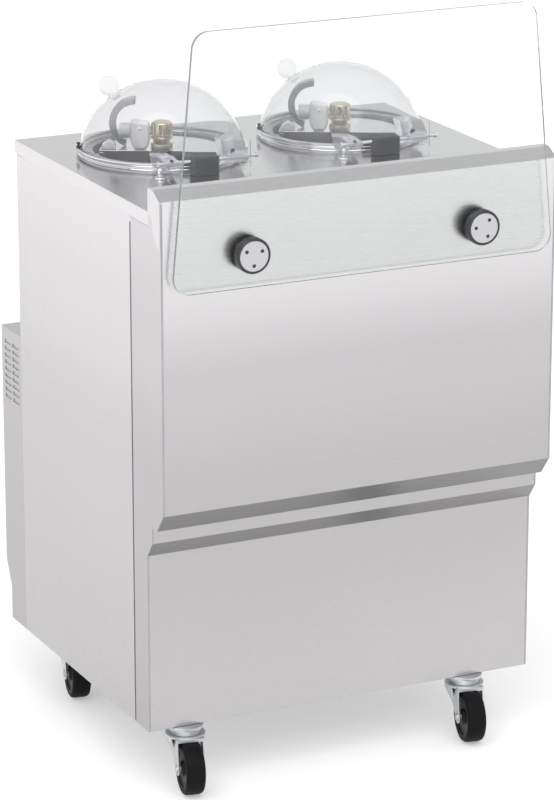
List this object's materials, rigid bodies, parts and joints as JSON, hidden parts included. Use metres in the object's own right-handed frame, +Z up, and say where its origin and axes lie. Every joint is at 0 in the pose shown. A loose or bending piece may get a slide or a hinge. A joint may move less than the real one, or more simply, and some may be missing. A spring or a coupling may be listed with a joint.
{
  "type": "twin bowl batch freezer",
  "caption": "Free-standing stainless batch freezer with clear domed bowl lids, a customer glass on round clamps and swivel casters.",
  "frame": {"origin": "on the floor under the middle of the machine's outer box", "axes": "+Z up, the customer's glass side faces -Y, the operator stands at +Y"},
  "size_m": [0.8, 0.81, 1.45],
  "materials": {
    "satin_steel": "satin brushed stainless",
    "polished_steel": "polished stainless",
    "zinc": "zinc plated, dull",
    "painted_steel": "semi-gloss dark paint",
    "cast_iron": "black shell paint",
    "clear_plastic": "clear moulded plastic",
    "glass": "clear, polished edges",
    "black_plastic": "fine-grained black",
    "white_plastic": "smooth white",
    "brass": "machined",
    "rubber": "black tread",
    "aluminium": "mill finish",
    "green_plastic": "gloss moulded"
  },
  "bodies": {
    "cabinet": {"base_frame": "satin_steel", "deck": "satin_steel", "upper_front_panel": "satin_steel", "lower_front_panel": "satin_steel", "front_cheek_left": "satin_steel", "front_cheek_right": "satin_steel", "side_panel_left": "satin_steel", "side_panel_right": "satin_steel", "rear_panel": "satin_steel", "rear_housing": "satin_steel", "glass_guard": "glass", "clamp_standoff_left": "black_plastic", "clamp_standoff_right": "black_plastic", "clamp_body_left": "black_plastic", "clamp_body_right": "black_plastic", "clamp_face_left": "polished_steel", "clamp_face_right": "polished_steel", "collar_left": "polished_steel", "collar_right": "polished_steel", "bowl_left": "polished_steel", "bowl_right": "polished_steel", "gearmotor_left": "painted_steel", "gearmotor_right": "painted_steel", "hinge_block_left": "black_plastic", "hinge_block_right": "black_plastic", "compressor": "cast_iron", "condenser": "aluminium", "fan_motor": "painted_steel", "electrical_box": "painted_steel", "control_panel": "black_plastic", "caster_stem_front_left": "zinc", "caster_stem_front_right": "zinc", "caster_stem_rear_left": "zinc", "caster_stem_rear_right": "zinc"},
    "left_agitator_set": {"agitator_left": "polished_steel", "scraper_left": "white_plastic", "shaft_nut_left": "brass", "drive_shaft_left": "polished_steel"},
    "right_agitator_set": {"agitator_right": "polished_steel", "scraper_right": "white_plastic", "shaft_nut_right": "brass", "drive_shaft_right": "polished_steel"},
    "left_lid": {"dome_lid_left": "clear_plastic", "lid_knob_left": "clear_plastic", "hinge_rod_left": "polished_steel"},
    "right_lid": {"dome_lid_right": "clear_plastic", "lid_knob_right": "clear_plastic", "hinge_rod_right": "polished_steel"},
    "left_start_button": {"start_button_left": "green_plastic"},
    "right_start_button": {"start_button_right": "green_plastic"},
    "switch": {"main_switch": "black_plastic"},
    "fan": {"condenser_fan": "aluminium"},
    "front_left_fork": {"caster_fork_front_left": "zinc"},
    "front_right_fork": {"caster_fork_front_right": "zinc"},
    "rear_left_fork": {"caster_fork_rear_left": "zinc"},
    "rear_right_fork": {"caster_fork_rear_right": "zinc"},
    "front_left_wheel": {"caster_wheel_front_left": "rubber"},
    "front_right_wheel": {"caster_wheel_front_right": "rubber"},
    "rear_left_wheel": {"caster_wheel_rear_left": "rubber"},
    "rear_right_wheel": {"caster_wheel_rear_right": "rubber"}
  },
  "joints": [
    {"name": "left_agitator_spin", "type": "hinge", "parent": "cabinet", "child": "left_agitator_set", "pos_m": [-0.1875, 0.097, 1.13], "axis": [0, 0, 1], "continuous": true},
    {"name": "right_agitator_spin", "type": "hinge", "parent": "cabinet", "child": "right_agitator_set", "pos_m": [0.1875, 0.097, 1.13], "axis": [0, 0, 1], "continuous": true},
    {"name": "left_lid_hinge", "type": "hinge", "parent": "cabinet", "child": "left_lid", "pos_m": [-0.1875, -0.099, 1.148], "axis": [1, 0, 0], "range_deg": [0, 100]},
    {"name": "right_lid_hinge", "type": "hinge", "parent": "cabinet", "child": "right_lid", "pos_m": [0.1875, -0.099, 1.148], "axis": [1, 0, 0], "range_deg": [0, 100]},
    {"name": "left_start_press", "type": "slide", "parent": "cabinet", "child": "left_start_button", "axis": [0, -1, 0], "range_m": [0, 0.003], "stiffness_N_per_m": 600},
    {"name": "right_start_press", "type": "slide", "parent": "cabinet", "child": "right_start_button", "axis": [0, -1, 0], "range_m": [0, 0.003], "stiffness_N_per_m": 600},
    {"name": "main_switch_turn", "type": "hinge", "parent": "cabinet", "child": "switch", "pos_m": [0, 0.305, 0.995], "axis": [0, 1, 0], "range_deg": [0, 90]},
    {"name": "fan_spin", "type": "hinge", "parent": "cabinet", "child": "fan", "pos_m": [0, 0.26, 0.43], "axis": [0, 1, 0], "continuous": true},
    {"name": "front_left_swivel", "type": "hinge", "parent": "cabinet", "child": "front_left_fork", "pos_m": [-0.32, -0.283, 0.125], "axis": [0, 0, 1], "continuous": true},
    {"name": "front_right_swivel", "type": "hinge", "parent": "cabinet", "child": "front_right_fork", "pos_m": [0.272, -0.283, 0.125], "axis": [0, 0, 1], "continuous": true},
    {"name": "rear_left_swivel", "type": "hinge", "parent": "cabinet", "child": "rear_left_fork", "pos_m": [-0.32, 0.26, 0.125], "axis": [0, 0, 1], "continuous": true},
    {"name": "rear_right_swivel", "type": "hinge", "parent": "cabinet", "child": "rear_right_fork", "pos_m": [0.272, 0.26, 0.125], "axis": [0, 0, 1], "continuous": true},
    {"name": "front_left_roll", "type": "hinge", "parent": "front_left_fork", "child": "front_left_wheel", "pos_m": [-0.32729, -0.32233, 0.05], "axis": [0.9833, -0.1822, 0], "continuous": true},
    {"name": "front_right_roll", "type": "hinge", "parent": "front_right_fork", "child": "front_right_wheel", "pos_m": [0.26471, -0.32233, 0.05], "axis": [0.9833, -0.1822, 0], "continuous": true},
    {"name": "rear_left_roll", "type": "hinge", "parent": "rear_left_fork", "child": "rear_left_wheel", "pos_m": [-0.32729, 0.22067, 0.05], "axis": [0.9833, -0.1822, 0], "continuous": true},
    {"name": "rear_right_roll", "type": "hinge", "parent": "rear_right_fork", "child": "rear_right_wheel", "pos_m": [0.26471, 0.22067, 0.05], "axis": [0.9833, -0.1822, 0], "continuous": true}
  ]
}
